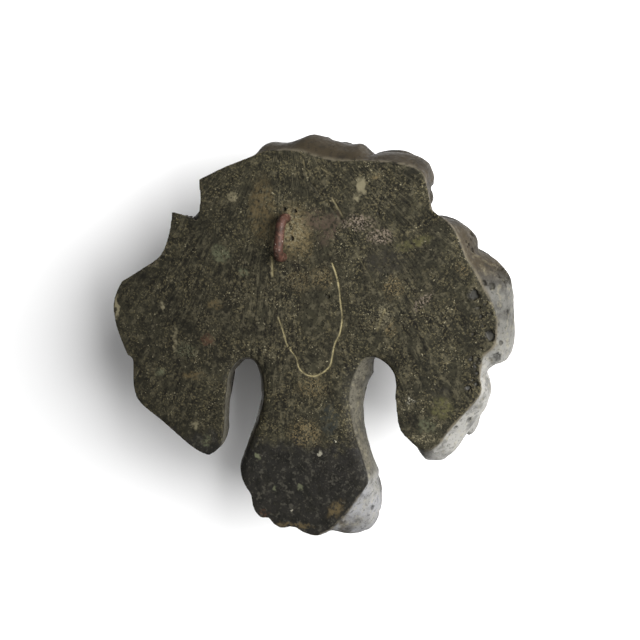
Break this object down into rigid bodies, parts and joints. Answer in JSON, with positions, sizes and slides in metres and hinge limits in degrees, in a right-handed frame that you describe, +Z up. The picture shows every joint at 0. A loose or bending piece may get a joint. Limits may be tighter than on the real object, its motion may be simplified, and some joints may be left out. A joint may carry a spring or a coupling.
{
  "type": "lion head relief",
  "caption": "Lion head wall relief with a full mane and a beard, flat at the back, with open arches beside the chin and a bent rod loop to hang it by.",
  "frame": {"origin": "middle of the flat back, on the wall plane", "axes": "+Z up as the relief hangs, +Y out of the flat back into the wall, the lion looks along -Y"},
  "size_m": [0.282, 0.1126, 0.2783],
  "materials": {
    "cast_stone": "dark olive-black patinated cast stone, worn, with ochre specks and paler grey sides",
    "rusty_iron": "rusted iron rod"
  },
  "bodies": {
    "root": {"lion_head": "cast_stone", "hanging_loop": "rusty_iron"}
  },
  "joints": []
}
